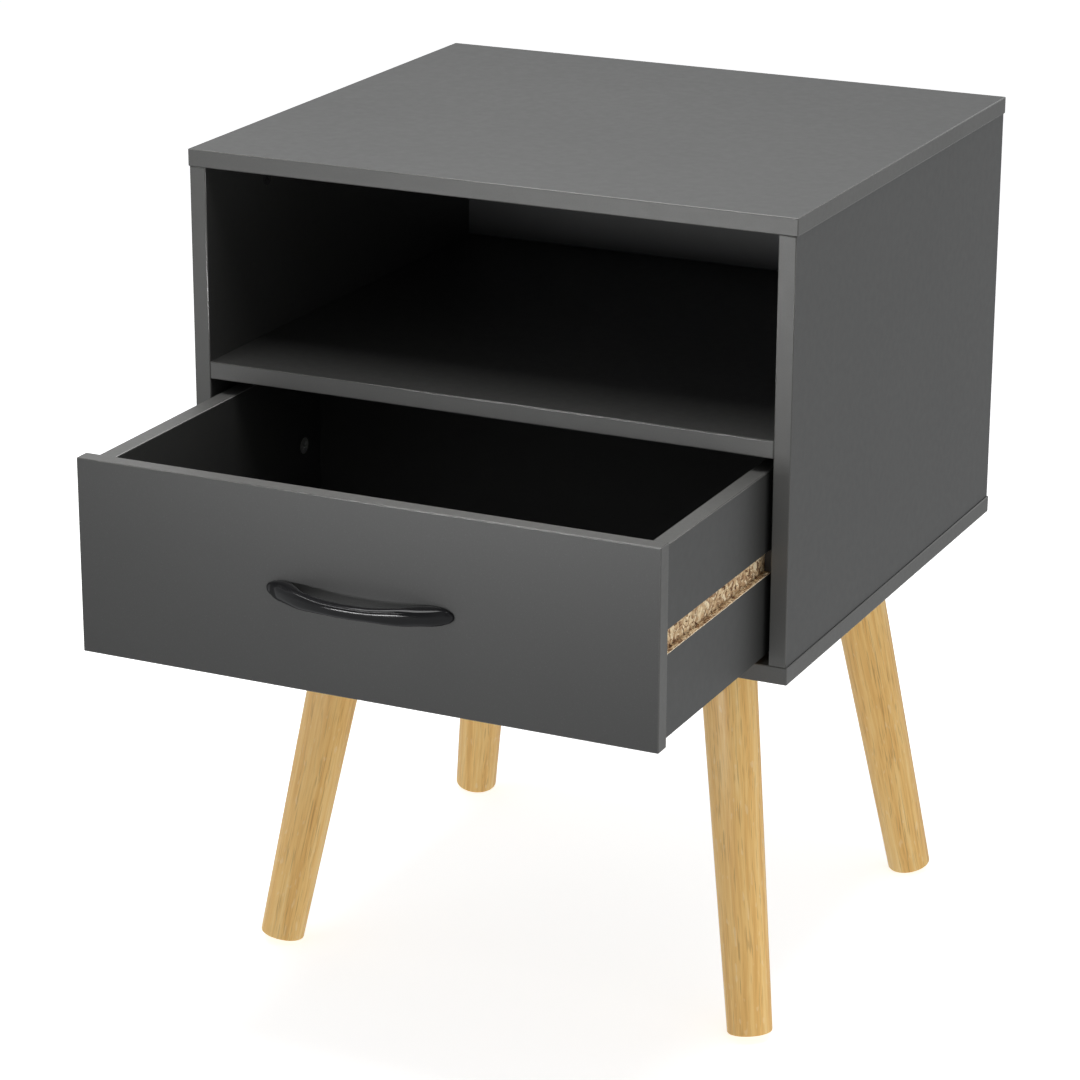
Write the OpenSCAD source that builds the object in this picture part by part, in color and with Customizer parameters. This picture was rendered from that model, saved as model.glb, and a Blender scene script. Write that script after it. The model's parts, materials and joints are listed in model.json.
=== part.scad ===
// Side table with an open shelf compartment, one inset drawer and four splayed round legs.
// Millimetres, +Z up, front towards -Y. The drawer is drawn pulled out by drawer_pull.
// The origin is on the floor, at the middle of the whole object's box.

/* [Cabinet] */
// Overall width, across the top panel
table_w = 440; // [380:1:520]
// Depth of the top and bottom panels
table_d = 400; // [380:1:480]
// Height from the floor to the top surface
table_h = 590; // [500:1:650]
// Height of the cabinet, from the bottom panel's underside to the top surface
cabinet_h = 312; // [300:1:340]
// Thickness of every coated chipboard panel
board_t = 12; // [12:1:16]
// How far the top and bottom panels stand out past the sides and the back
overhang = 1; // [0.5:0.5:3]
// Clear height of the open compartment above the shelf
compartment_h = 135; // [110:1:150]
// Thickness of the hardboard back
back_t = 3; // [2.5:0.5:5]
// Thickness of the plastic edge bands
band_t = 0.8; // [0.4:0.1:1]

/* [Drawer] */
// How far the drawer is pulled out as drawn
drawer_pull = 174; // [60:1:220]
// Gap at each end of the drawer front
front_side_gap = 1.5; // [1:0.1:4]
// Gap below the drawer front
front_bottom_gap = 1.5; // [1:0.1:4]
// Gap between the drawer front and the shelf
front_top_gap = 6.5; // [2:0.5:10]
// Length of the drawer's side boards
drawer_side_l = 285; // [250:1:300]
// Gap between a drawer side and the cabinet side
box_side_gap = 5; // [4:0.5:8]
// How far the drawer front stands above the drawer sides
front_above_box = 4; // [2:0.5:10]
// How far the drawer front reaches below the drawer sides
front_below_box = 3; // [2:0.5:8]
// Height of the runner groove in the drawer sides
groove_h = 15.5; // [14:0.5:18]
// Depth of the runner groove
groove_depth = 4.5; // [3:0.5:5]
// Thickness of the drawer's hardboard bottom
floor_t = 3; // [2.5:0.5:4]
// Height of the drawer bottom above the lower edge of the drawer sides
floor_rise = 6; // [5:1:12]

/* [Runners] */
// Length of a drawer runner
runner_l = 280; // [240:5:290]
// Clearance between a runner and its groove, above, below and at the groove's bottom
runner_clear = 0.4; // [0.3:0.1:0.6]

/* [Handle] */
// Length of the bow handle, tip to tip
handle_l = 133; // [120:1:150]
// How far the bow stands out from the drawer front
handle_reach = 24; // [20:1:32]
// Distance between the two handle screws
handle_pitch = 96; // [96, 64]
// Thickness of the bow at its middle, front to back
bow_t = 8.2; // [7:0.2:10]
// Height of the bow at its middle
bow_h = 8.8; // [7:0.2:11]
// Height of the handle's feet
foot_h = 12; // [10:0.5:14]

/* [Legs] */
// Distance of a leg's axis from the cabinet's centre at the bottom panel, sideways
leg_top_x = 141; // [110:1:160]
// The same, front to back
leg_top_y = 113; // [90:1:130]
// Distance of a leg's axis from the cabinet's centre at the floor, sideways
leg_foot_x = 184; // [150:1:200]
// The same, front to back
leg_foot_y = 159; // [130:1:180]
// Radius of a leg at its top
leg_r_top = 19.7; // [16:0.1:22]
// Radius of a leg at its foot
leg_r_foot = 15.7; // [12:0.1:18]
// Radius of the rounded edge at the foot
leg_edge_r = 1.5; // [1:0.1:3]
// Side of the square leg plate
plate_w = 60; // [54:1:66]
// Thickness of the leg plate
plate_t = 2.5; // [2:0.5:3]

/* [Fittings] */
// Diameter of a cam lock
cam_d = 12; // [12:1:13]
// Distance from a board's end to the cam's centre
cam_inset = 24; // [20:1:34]
// Distance of the outer dowels from the cabinet's front plane and from the back panel
dowel_from_edge = 40; // [30:1:50]
// Distance of the cams from the cabinet's front plane and from the back panel
cam_from_edge = 84; // [80:1:100]
// Diameter of a wooden dowel
dowel_d = 6; // [5:1:6]

/* [Hidden] */
$fn = 64;

// Colours
anthracite = [0.29, 0.295, 0.295];
band_grey = [0.33, 0.33, 0.32];
hardboard_grey = [0.2, 0.2, 0.2];
oak = [0.84, 0.67, 0.43];
beech = [0.86, 0.72, 0.52];
zinc = [0.72, 0.73, 0.74];
gloss_black = [0.03, 0.03, 0.03];
coat_black = [0.1, 0.1, 0.1];
runner_grey = [0.4, 0.4, 0.4];

// A little extra length, so that a cutter passes right through a face
over = 1;
// Clearance of a fitting in its hole
fit = 0.05;
// Empty length at the end of a blind hole
end_gap = 0.5;
// How much wider than its screw a clearance hole is
screw_clear = 0.4;

// Cabinet, from the front plane
front_y = (drawer_pull + handle_reach - table_d) / 2;
rear_y = front_y + table_d;
mid_y = front_y + table_d / 2;
side_outer_x = table_w / 2 - overhang;
side_inner_x = side_outer_x - board_t;
side_mid_x = side_outer_x - board_t / 2;
side_d = table_d - overhang - back_t;
base_z = table_h - cabinet_h;
bay_floor_z = base_z + board_t;
side_top_z = table_h - board_t;
side_h = side_top_z - bay_floor_z;
shelf_top_z = side_top_z - compartment_h;
shelf_z = shelf_top_z - board_t;
shelf_mid_z = shelf_z + board_t / 2;
dowel_ys = [dowel_from_edge, side_d - dowel_from_edge];
cam_ys = [cam_from_edge, side_d - cam_from_edge];

// Drawer
drawer_y = front_y - drawer_pull;
front_w = 2 * side_inner_x - 2 * front_side_gap;
front_z = bay_floor_z + front_bottom_gap;
front_h = shelf_z - front_top_gap - front_z;
box_outer_x = side_inner_x - box_side_gap;
box_inner_x = box_outer_x - board_t;
box_mid_x = box_outer_x - board_t / 2;
box_z = front_z + front_below_box;
box_h = front_h - front_below_box - front_above_box;
box_mid_z = box_z + box_h / 2;
box_y = drawer_y + board_t;
box_back_y = box_y + drawer_side_l;
groove_floor_x = box_outer_x - groove_depth;
floor_play = 0.1;
floor_slot_h = floor_t + 2 * floor_play;
floor_slot_depth = 4;
floor_z = box_z + floor_rise;
box_dowel_rise = 40;
// The drawer's cams and bolts sit between the inner face and the runner groove
shallow_cam_t = 6.5;
box_bolt_x = box_inner_x + (board_t - groove_depth) / 2;

// Runners
runner_setback = 0.3;
runner_y = front_y + board_t + runner_setback;
runner_t = side_inner_x - groove_floor_x - runner_clear;
runner_h = groove_h - 2 * runner_clear;
runner_screw_inset = 30;
runner_screw_ys = [runner_screw_inset, runner_l / 2, runner_l - runner_screw_inset];
runner_screw_d = 3.5;
runner_screw_l = 13;
runner_pilot_l = 9;
runner_head_d = 7;
runner_head_depth = 4;

// Fittings
cam_t = 9.3;
cam_room = 0.2;
cam_slot_l = 7;
cam_slot_w = 1.2;
cam_slot_depth = 1.8;
bolt_thread_d = 5;
bolt_shaft_d = 4;
bolt_head_l = 3;
face_hole_depth = 8;
dowel_end_depth = 16;
dowel_l = face_hole_depth + dowel_end_depth - 2 * end_gap;
nail_d = 1.4;
nail_l = 18;
nail_head_d = 4.4;
nail_head_t = 0.7;

// Handle
handle_z = front_z + front_h / 2;
handle_hole_d = 4.6;
handle_screw_d = 4;
handle_screw_depth = 6;
screw_head_d = 8;
screw_head_t = 2.2;
screw_slot_l = 4.5;
screw_slot_w = 0.9;
screw_slot_depth = 1.2;
screw_tip_d = 0.6;

// Legs
leg_out = norm([leg_foot_x - leg_top_x, leg_foot_y - leg_top_y]);
leg_tilt = atan(leg_out / base_z);
leg_foot_lift = (leg_r_foot - leg_edge_r) * sin(leg_tilt) + leg_edge_r * (1 - cos(leg_tilt));
leg_gap = 8;
leg_axis_l = (base_z - leg_foot_lift) / cos(leg_tilt);
leg_l = leg_axis_l - leg_gap;
hanger_d = 8;
hanger_depth = 32;
hanger_end_gap = 2.5;
boss_r = 10;
plate_corner_r = 6;
plate_screw_off = 22;
plate_screw_d = 4;
plate_screw_l = 11;
plate_head_d = 7.6;
sides = [-1, 1];

// ---------- Shared shapes ----------

// A block from its low corner to its high corner
module block(low, high) {
    translate(low) cube(high - low);
}

// A cylinder that starts at a point and runs along an axis, given as a unit vector
module rod(at, along, d, l) {
    tilt = acos(along[2]);
    heading = atan2(along[1], along[0]);
    translate(at) rotate([0, tilt, heading]) cylinder(d = d, h = l);
}

// A cylinder that tapers from one diameter to another
module taper(at, along, d1, d2, l) {
    tilt = acos(along[2]);
    heading = atan2(along[1], along[0]);
    translate(at) rotate([0, tilt, heading]) cylinder(d1 = d1, d2 = d2, h = l);
}

// Cam disc with a crossed driver slot; its open face is at the point, its body runs along the axis,
// and the bolt comes in from the side named by toward
module cam_lock(at, along, toward, thickness, bolt_depth) {
    difference() {
        rod(at, along, cam_d - 2 * fit, thickness);
        rod(at + along * bolt_depth - toward * bolt_head_l / 2, toward, bolt_thread_d + 2 * fit, cam_d);
        for (turn = [0, 90])
            translate(at) rotate([0, acos(along[2]), atan2(along[1], along[0])])
                rotate([0, 0, turn + 45])
                    translate([-cam_slot_l / 2, -cam_slot_w / 2, -over])
                        cube([cam_slot_l, cam_slot_w, cam_slot_depth + over]);
    }
}

// Hole for a cam disc, and the bolt's way to it from the board's end
module cam_holes(face_at, along, depth, end_at, inward) {
    rod(face_at - along * over, along, cam_d, depth + over);
    rod(end_at - inward * over, inward, bolt_thread_d, cam_inset + over);
}

// Hole in a board's face for the bolt of a cam lock
module bolt_hole(at, inward) {
    rod(at - inward * face_hole_depth, inward, bolt_thread_d, face_hole_depth + over);
}

// Bolt that is screwed into a board's face and reaches into the cam; it starts at the joint
module cam_bolt(at, inward) {
    rod(at - inward * (face_hole_depth - end_gap), inward, bolt_thread_d - 2 * fit, face_hole_depth);
    rod(at, inward, bolt_shaft_d, cam_inset - bolt_head_l + over);
    rod(at + inward * (cam_inset - bolt_head_l), inward, bolt_thread_d - 2 * fit, bolt_head_l);
}

// Wooden dowel across a joint, longer on the side named by inward
module dowel(at, inward) {
    rod(at - inward * (face_hole_depth - end_gap), inward, dowel_d - 2 * fit, dowel_l);
}

module dowel_holes(at, inward) {
    rod(at - inward * face_hole_depth, inward, dowel_d, face_hole_depth + dowel_end_depth);
}

// Countersunk wood screw, head flush at the point
module wood_screw(at, along, d, head_d, l) {
    taper(at, along, head_d, d, (head_d - d) / 2);
    rod(at, along, d, l - d);
    taper(at + along * (l - d), along, d, screw_tip_d, d);
}

// ---------- Cabinet ----------

// Every place where a side panel meets the top and the bottom panel: point and inward direction
function end_joints(side, ys) = [
    for (y = ys) [[side * side_mid_x, front_y + y, side_top_z], [0, 0, -1]],
    for (y = ys) [[side * side_mid_x, front_y + y, bay_floor_z], [0, 0, 1]]
];

// Every place where the shelf meets a side panel
function shelf_joints(side, ys) = [
    for (y = ys) [[side * side_inner_x, front_y + y, shelf_mid_z], [-side, 0, 0]]
];

function leg_screw_points() = [
    for (sx = sides, sy = sides, dx = sides, dy = sides)
        [sx * leg_top_x + dx * plate_screw_off, mid_y + sy * leg_top_y + dy * plate_screw_off, base_z]
];

module end_panel_holes() {
    for (side = sides) {
        for (j = end_joints(side, dowel_ys)) dowel_holes(j[0], j[1]);
        for (j = end_joints(side, cam_ys)) bolt_hole(j[0], j[1]);
    }
}

// Top or bottom panel without its bands
module end_panel(z) {
    difference() {
        block([-table_w / 2 + band_t, front_y + band_t, z],
              [table_w / 2 - band_t, rear_y - band_t, z + board_t]);
        end_panel_holes();
        for (p = leg_screw_points())
            rod(p - [0, 0, over], [0, 0, 1], plate_screw_d - 1, over + plate_screw_l - plate_t);
    }
}

// The four bands round a top or bottom panel; the front and rear ones cover the ends of the others
module end_panel_bands(z) {
    half = table_w / 2;
    block([-half, front_y, z], [half, front_y + band_t, z + board_t]);
    block([-half, rear_y - band_t, z], [half, rear_y, z + board_t]);
    for (side = sides)
        translate([side * (half - band_t / 2), mid_y, z + board_t / 2])
            cube([band_t, table_d - 2 * band_t, board_t], center = true);
}

module top_panel() {
    color(anthracite) end_panel(side_top_z);
}

module bottom_panel() {
    color(anthracite) end_panel(base_z);
}

module top_panel_edge_bands() {
    color(band_grey) end_panel_bands(side_top_z);
}

module bottom_panel_edge_bands() {
    color(band_grey) end_panel_bands(base_z);
}

module side_panel(side) {
    cam_x = side * side_inner_x;
    inner = min(cam_x, side * side_outer_x);
    difference() {
        block([inner, front_y + band_t, bay_floor_z], [inner + board_t, front_y + side_d, side_top_z]);
        for (j = end_joints(side, dowel_ys)) dowel_holes(j[0], j[1]);
        for (j = end_joints(side, cam_ys))
            cam_holes([cam_x, j[0][1], j[0][2] + j[1][2] * cam_inset], [side, 0, 0],
                      cam_t + cam_room, j[0], j[1]);
        for (j = shelf_joints(side, dowel_ys)) dowel_holes(j[0], j[1]);
        for (j = shelf_joints(side, cam_ys)) bolt_hole(j[0], j[1]);
        for (y = runner_screw_ys)
            rod([cam_x - side * over, runner_y + y, box_mid_z], [side, 0, 0],
                runner_screw_d - 1, runner_pilot_l + over);
        for (z = nail_zs) rod([side * side_mid_x, front_y + side_d + over, z], [0, -1, 0], nail_d, nail_l);
    }
}

module left_side_panel() {
    color(anthracite) side_panel(-1);
}

module right_side_panel() {
    color(anthracite) side_panel(1);
}

module side_panel_edge_bands() {
    color(band_grey)
        for (side = sides)
            translate([side * side_mid_x, front_y + band_t / 2, (bay_floor_z + side_top_z) / 2])
                cube([board_t, band_t, side_h], center = true);
}

module shelf_panel() {
    color(anthracite)
        difference() {
            block([-side_inner_x, front_y + band_t, shelf_z], [side_inner_x, front_y + side_d, shelf_top_z]);
            for (side = sides) {
                for (j = shelf_joints(side, dowel_ys)) dowel_holes(j[0], j[1]);
                for (j = shelf_joints(side, cam_ys))
                    cam_holes([j[0][0] - side * cam_inset, j[0][1], shelf_z], [0, 0, 1],
                              cam_t + cam_room, j[0], j[1]);
            }
            for (x = shelf_nail_xs)
                rod([x, front_y + side_d + over, shelf_mid_z], [0, -1, 0], nail_d, nail_l);
        }
}

module shelf_edge_band() {
    color(band_grey)
        block([-side_inner_x, front_y, shelf_z], [side_inner_x, front_y + band_t, shelf_top_z]);
}

// Nails go through the back panel into the rear edges of the sides and of the shelf
nail_count = 5;
nail_inset = 20;
nail_pitch = (side_h - 2 * nail_inset) / (nail_count - 1);
nail_zs = [for (i = [0 : nail_count - 1]) bay_floor_z + nail_inset + i * nail_pitch];
shelf_nail_xs = [-120, 0, 120];
nail_points = [
    for (side = sides, z = nail_zs) [side * side_mid_x, front_y + side_d + back_t, z],
    for (x = shelf_nail_xs) [x, front_y + side_d + back_t, shelf_mid_z]
];

module back_panel() {
    color(hardboard_grey)
        difference() {
            block([-side_outer_x, front_y + side_d, bay_floor_z],
                  [side_outer_x, front_y + side_d + back_t, side_top_z]);
            for (p = nail_points) rod(p + [0, over, 0], [0, -1, 0], nail_d, nail_l);
        }
}

module back_panel_nails() {
    color(zinc)
        for (p = nail_points) {
            rod(p, [0, 1, 0], nail_head_d, nail_head_t);
            rod(p + [0, nail_head_t, 0], [0, -1, 0], nail_d - 2 * fit, nail_l - 1);
        }
}

module cabinet_dowels() {
    color(beech)
        for (side = sides, j = concat(end_joints(side, dowel_ys), shelf_joints(side, dowel_ys)))
            dowel(j[0], j[1]);
}

module cabinet_cam_bolts() {
    color(zinc)
        for (side = sides, j = concat(end_joints(side, cam_ys), shelf_joints(side, cam_ys)))
            cam_bolt(j[0], j[1]);
}

module cabinet_cam_locks() {
    color(zinc)
        for (side = sides) {
            for (j = end_joints(side, cam_ys))
                cam_lock([side * side_inner_x, j[0][1], j[0][2] + j[1][2] * cam_inset],
                         [side, 0, 0], -j[1], cam_t, board_t / 2);
            for (j = shelf_joints(side, cam_ys))
                cam_lock([j[0][0] - side * cam_inset, j[0][1], shelf_z], [0, 0, 1],
                         -j[1], cam_t, board_t / 2);
        }
}

// ---------- Drawer runners ----------

module drawer_runner(side) {
    difference() {
        translate([side * (side_inner_x - runner_t / 2), runner_y + runner_l / 2, box_mid_z])
            cube([runner_t, runner_l, runner_h], center = true);
        for (y = runner_screw_ys) {
            at = [side * (side_inner_x - runner_t), runner_y + y, box_mid_z];
            rod(at - [side * over, 0, 0], [side, 0, 0],
                runner_head_d + screw_clear, runner_head_depth + over);
            rod(at, [side, 0, 0], runner_screw_d + screw_clear, runner_t + over);
            taper(at + [side * runner_head_depth, 0, 0], [side, 0, 0], runner_head_d + screw_clear,
                  runner_screw_d + screw_clear, (runner_head_d - runner_screw_d) / 2);
        }
    }
}

module left_drawer_runner() {
    color(runner_grey) drawer_runner(-1);
}

module right_drawer_runner() {
    color(runner_grey) drawer_runner(1);
}

module runner_screws() {
    color(zinc)
        for (side = sides, y = runner_screw_ys)
            wood_screw([side * (side_inner_x - runner_t + runner_head_depth), runner_y + y, box_mid_z],
                       [side, 0, 0], runner_screw_d - 1 - 2 * fit, runner_head_d, runner_screw_l);
}

// ---------- Legs ----------

// Mirrors what is drawn for the rear right corner of a centred cabinet to the corner named by sx and sy
module at_corner(sx, sy) {
    translate([0, mid_y, 0]) mirror([sx < 0 ? 1 : 0, 0, 0]) mirror([0, sy < 0 ? 1 : 0, 0]) children();
}

// The rear right leg's own frame: origin at the middle of the foot's end, +Z up the leg's axis
module on_leg_axis() {
    lean = leg_foot_lift / base_z;
    foot_x = leg_foot_x - lean * (leg_foot_x - leg_top_x);
    foot_y = leg_foot_y - lean * (leg_foot_y - leg_top_y);
    heading = atan2(leg_top_y - leg_foot_y, leg_top_x - leg_foot_x);
    translate([foot_x, foot_y, leg_foot_lift]) rotate([0, leg_tilt, heading]) children();
}

// Radius of the straight taper at a height along the axis
function leg_r(l) = leg_r_foot + (leg_r_top - leg_r_foot) * l / leg_l;

module leg(sx, sy) {
    top_edge = 1;
    outline = concat(
        [[0, 0]],
        [for (a = [-90 : 18 : 0])
            [leg_r_foot - leg_edge_r + leg_edge_r * cos(a), leg_edge_r + leg_edge_r * sin(a)]],
        [for (a = [0 : 30 : 90])
            [leg_r(leg_l - top_edge) - top_edge + top_edge * cos(a), leg_l - top_edge + top_edge * sin(a)]],
        [[0, leg_l]]);
    color(oak)
        at_corner(sx, sy) on_leg_axis()
            difference() {
                rotate_extrude() polygon(outline);
                translate([0, 0, leg_l - hanger_depth]) cylinder(d = hanger_d, h = hanger_depth + over);
            }
}

module leg_hanger_bolts() {
    color(zinc)
        for (sx = sides, sy = sides)
            at_corner(sx, sy) on_leg_axis()
                translate([0, 0, leg_l - hanger_depth + end_gap])
                    cylinder(d = hanger_d - 2 * fit, h = hanger_depth - end_gap + leg_gap - hanger_end_gap);
}

// Square plate with rounded corners, and a tilted boss that takes the hanger bolt
module leg_plate(sx, sy) {
    straight = plate_w - 2 * plate_corner_r;
    centre = [leg_top_x, leg_top_y, base_z - plate_t];
    boss_room = 3 * leg_gap;
    color(coat_black)
        at_corner(sx, sy)
            difference() {
                union() {
                    translate(centre) {
                        translate([-straight / 2, -plate_w / 2, 0]) cube([straight, plate_w, plate_t]);
                        translate([-plate_w / 2, -straight / 2, 0]) cube([plate_w, straight, plate_t]);
                        for (dx = sides, dy = sides)
                            translate([dx * straight / 2, dy * straight / 2, 0])
                                cylinder(r = plate_corner_r, h = plate_t);
                    }
                    intersection() {
                        on_leg_axis() translate([0, 0, leg_l]) cylinder(r = boss_r, h = boss_room);
                        translate(centre + [-plate_w / 2, -plate_w / 2, plate_t / 2 - boss_room])
                            cube([plate_w, plate_w, boss_room]);
                    }
                }
                on_leg_axis() translate([0, 0, leg_l - over]) cylinder(d = hanger_d, h = boss_room);
                for (dx = sides, dy = sides)
                    translate(centre + [dx * plate_screw_off, dy * plate_screw_off, 0]) {
                        translate([0, 0, -over])
                            cylinder(d = plate_screw_d + screw_clear, h = plate_t + 2 * over);
                        cylinder(d1 = plate_head_d + screw_clear, d2 = plate_screw_d + screw_clear,
                                 h = (plate_head_d - plate_screw_d) / 2);
                    }
            }
}

module leg_plate_screws() {
    color(zinc)
        for (p = leg_screw_points())
            wood_screw(p - [0, 0, plate_t], [0, 0, 1],
                       plate_screw_d - 1 - 2 * fit, plate_head_d, plate_screw_l);
}

module front_left_leg() { leg(-1, -1); }
module front_right_leg() { leg(1, -1); }
module rear_left_leg() { leg(-1, 1); }
module rear_right_leg() { leg(1, 1); }
module front_left_leg_plate() { leg_plate(-1, -1); }
module front_right_leg_plate() { leg_plate(1, -1); }
module rear_left_leg_plate() { leg_plate(-1, 1); }
module rear_right_leg_plate() { leg_plate(1, 1); }

// ---------- Drawer ----------

// Joints between a drawer side and the front (end 0) or the back (end 1): point and inward direction
function box_joint(side, x, end, z) = [
    [side * x, end == 0 ? box_y : box_back_y, z],
    [0, end == 0 ? 1 : -1, 0]
];
function box_dowel_joints(side) = [
    for (end = [0, 1], rise = [-box_dowel_rise, box_dowel_rise])
        box_joint(side, box_mid_x, end, box_mid_z + rise)
];
function box_cam_joints(side) = [for (end = [0, 1]) box_joint(side, box_bolt_x, end, box_mid_z)];

module box_joint_holes() {
    for (side = sides) {
        for (j = box_dowel_joints(side)) dowel_holes(j[0], j[1]);
        for (j = box_cam_joints(side)) bolt_hole(j[0], j[1]);
    }
}

// Slot that holds the drawer bottom on all four sides
module floor_slot() {
    block([-box_inner_x - floor_slot_depth, box_y - floor_slot_depth, floor_z],
          [box_inner_x + floor_slot_depth, box_back_y + floor_slot_depth, floor_z + floor_slot_h]);
}

// Space swept by the runner groove, through the side and the end of the drawer back
module runner_groove(side) {
    translate([side * (groove_floor_x + box_side_gap), (box_y + box_back_y + board_t + over) / 2, box_mid_z])
        cube([2 * box_side_gap, drawer_side_l + board_t + over, groove_h], center = true);
}

module drawer_front() {
    color(anthracite)
        difference() {
            block([-front_w / 2 + band_t, drawer_y, front_z + band_t],
                  [front_w / 2 - band_t, box_y, front_z + front_h - band_t]);
            box_joint_holes();
            floor_slot();
            for (side = sides)
                rod([side * handle_pitch / 2, drawer_y - over, handle_z], [0, 1, 0],
                    handle_hole_d, board_t + 2 * over);
        }
}

module drawer_front_edge_bands() {
    half = front_w / 2;
    color(band_grey) {
        for (z = [front_z, front_z + front_h - band_t])
            block([-half, drawer_y, z], [half, box_y, z + band_t]);
        for (side = sides)
            translate([side * (half - band_t / 2), drawer_y + board_t / 2, handle_z])
                cube([band_t, board_t, front_h - 2 * band_t], center = true);
    }
}

module drawer_side(side) {
    difference() {
        translate([side * box_mid_x, box_y + drawer_side_l / 2, box_z + (box_h - band_t) / 2])
            cube([board_t, drawer_side_l, box_h - band_t], center = true);
        for (j = box_dowel_joints(side)) dowel_holes(j[0], j[1]);
        for (j = box_cam_joints(side))
            cam_holes([side * box_inner_x, j[0][1] + j[1][1] * cam_inset, box_mid_z], [side, 0, 0],
                      shallow_cam_t + cam_room, j[0], j[1]);
        runner_groove(side);
        floor_slot();
    }
}

module drawer_left_side() {
    color(anthracite) drawer_side(-1);
}

module drawer_right_side() {
    color(anthracite) drawer_side(1);
}

module drawer_back() {
    color(anthracite)
        difference() {
            block([-box_outer_x, box_back_y, box_z],
                  [box_outer_x, box_back_y + board_t, box_z + box_h - band_t]);
            box_joint_holes();
            floor_slot();
            for (side = sides) runner_groove(side);
        }
}

module drawer_box_edge_bands() {
    top_z = box_z + box_h;
    color(band_grey) {
        for (side = sides)
            translate([side * box_mid_x, box_y + drawer_side_l / 2, top_z - band_t / 2])
                cube([board_t, drawer_side_l, band_t], center = true);
        block([-box_outer_x, box_back_y, top_z - band_t], [box_outer_x, box_back_y + board_t, top_z]);
    }
}

module drawer_bottom() {
    in_slot = floor_slot_depth - end_gap;
    low_z = floor_z + floor_play;
    color(hardboard_grey)
        block([-box_inner_x - in_slot, box_y - in_slot, low_z],
              [box_inner_x + in_slot, box_back_y + in_slot, low_z + floor_t]);
}

module drawer_dowels() {
    color(beech)
        for (side = sides, j = box_dowel_joints(side)) dowel(j[0], j[1]);
}

module drawer_cam_bolts() {
    color(zinc)
        for (side = sides, j = box_cam_joints(side)) cam_bolt(j[0], j[1]);
}

module drawer_cam_locks() {
    color(zinc)
        for (side = sides, j = box_cam_joints(side))
            cam_lock([side * box_inner_x, j[0][1] + j[1][1] * cam_inset, box_mid_z], [side, 0, 0],
                     -j[1], shallow_cam_t, (board_t - groove_depth) / 2);
}

// ---------- Handle ----------

// The bow's middle line is an arc that comes down to 1 mm from the drawer front at arc_half
arc_half = 62;
arc_rise = handle_reach - bow_t / 2 - 1;
arc_r = (arc_half * arc_half + arc_rise * arc_rise) / (2 * arc_rise);
// Where the solid foot starts and where the bow is free of it
foot_inner = 52;
bow_free = 34;
// Length of the rounded tip
tip_l = 13;
// How far the feet are drawn behind the drawer front's face before they are cut flat
foot_sink = 3;
// Where the bow starts to grow higher towards the feet, and over what length
bow_even = 12;
bow_growth_l = 32;
// Share of the tip's rounding that is kept, so that the ends aren't points
tip_share = 0.99;

function smooth(t) = let (c = min(1, max(0, t))) c * c * (3 - 2 * c);
// Height of an arc above the drawer front, for a radius about the bow's centre
function arc_at(x, r) = sqrt(r * r - x * x) + handle_reach - bow_t / 2 - arc_r;
// Rounding of the tip: 1 along the bow, falling to nearly 0 at the very end like a quarter ellipse
function tip(x) = let (t = max(0, (abs(x) - handle_l / 2 + tip_l) / tip_l)) sqrt(1 - tip_share * t * t);
// Share of the foot at x: 0 on the free bow, 1 on the foot
function foot_share(x) = smooth((abs(x) - bow_free) / (foot_inner - bow_free));
// Outer surface, inner surface and half height of the handle at x
function outer_at(x) = arc_at(min(abs(x), arc_half), arc_r + bow_t / 2) * tip(x);
function bow_inner_at(x) = max(0, arc_at(min(abs(x), foot_inner), arc_r - bow_t / 2));
function inner_at(x) = bow_inner_at(x) * (1 - foot_share(x)) - foot_sink * tip(x) * foot_share(x);
function growth(x) = smooth((abs(x) - bow_even) / bow_growth_l);
function half_height_at(x) = (bow_h / 2 + (foot_h - bow_h) / 2 * growth(x)) * tip(x);
// Sections: an ellipse with fuller corners, between the inner and the outer surface
ring_points = 20;
fullness = 0.8;
function fuller(v) = sign(v) * pow(abs(v), fullness);
function section(x) = let (
    centre = (outer_at(x) + inner_at(x)) / 2,
    half_t = (outer_at(x) - inner_at(x)) / 2,
    half_h = half_height_at(x)
) [
    for (k = [0 : ring_points - 1])
        let (a = 360 * k / ring_points)
        [x, drawer_y - centre - half_t * fuller(sin(a)), handle_z + half_h * fuller(cos(a))]
];

// Stations along the handle, closer together at the tips
stations = [for (i = [-24 : 24]) handle_l / 2 * sin(90 * i / 24)];

module handle_body() {
    rings = [for (x = stations) section(x)];
    count = len(rings);
    points = [for (ring = rings, p = ring) p];
    walls = [
        for (r = [0 : count - 2], k = [0 : ring_points - 1])
            let (a = r * ring_points + k, b = r * ring_points + (k + 1) % ring_points)
            [a, b, b + ring_points, a + ring_points]
    ];
    first_cap = [for (k = [ring_points - 1 : -1 : 0]) k];
    last_cap = [for (k = [0 : ring_points - 1]) (count - 1) * ring_points + k];
    intersection() {
        polyhedron(points, concat([first_cap, last_cap], walls));
        block([-handle_l, drawer_y - 2 * handle_reach, handle_z - foot_h],
              [handle_l, drawer_y, handle_z + foot_h]);
    }
}

module drawer_handle() {
    color(gloss_black)
        difference() {
            handle_body();
            for (side = sides)
                rod([side * handle_pitch / 2, drawer_y + over, handle_z], [0, -1, 0], handle_screw_d,
                    handle_screw_depth + end_gap + over);
        }
}

module handle_screws() {
    color(zinc)
        for (side = sides) {
            at = [side * handle_pitch / 2, box_y, handle_z];
            difference() {
                rod(at, [0, 1, 0], screw_head_d, screw_head_t);
                for (turn = [0, 90])
                    translate(at + [0, screw_head_t, 0]) rotate([0, turn, 0])
                        cube([screw_slot_l, 2 * screw_slot_depth, screw_slot_w], center = true);
            }
            rod(at + [0, over, 0], [0, -1, 0], handle_screw_d - 2 * fit, over + board_t + handle_screw_depth);
        }
}

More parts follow.
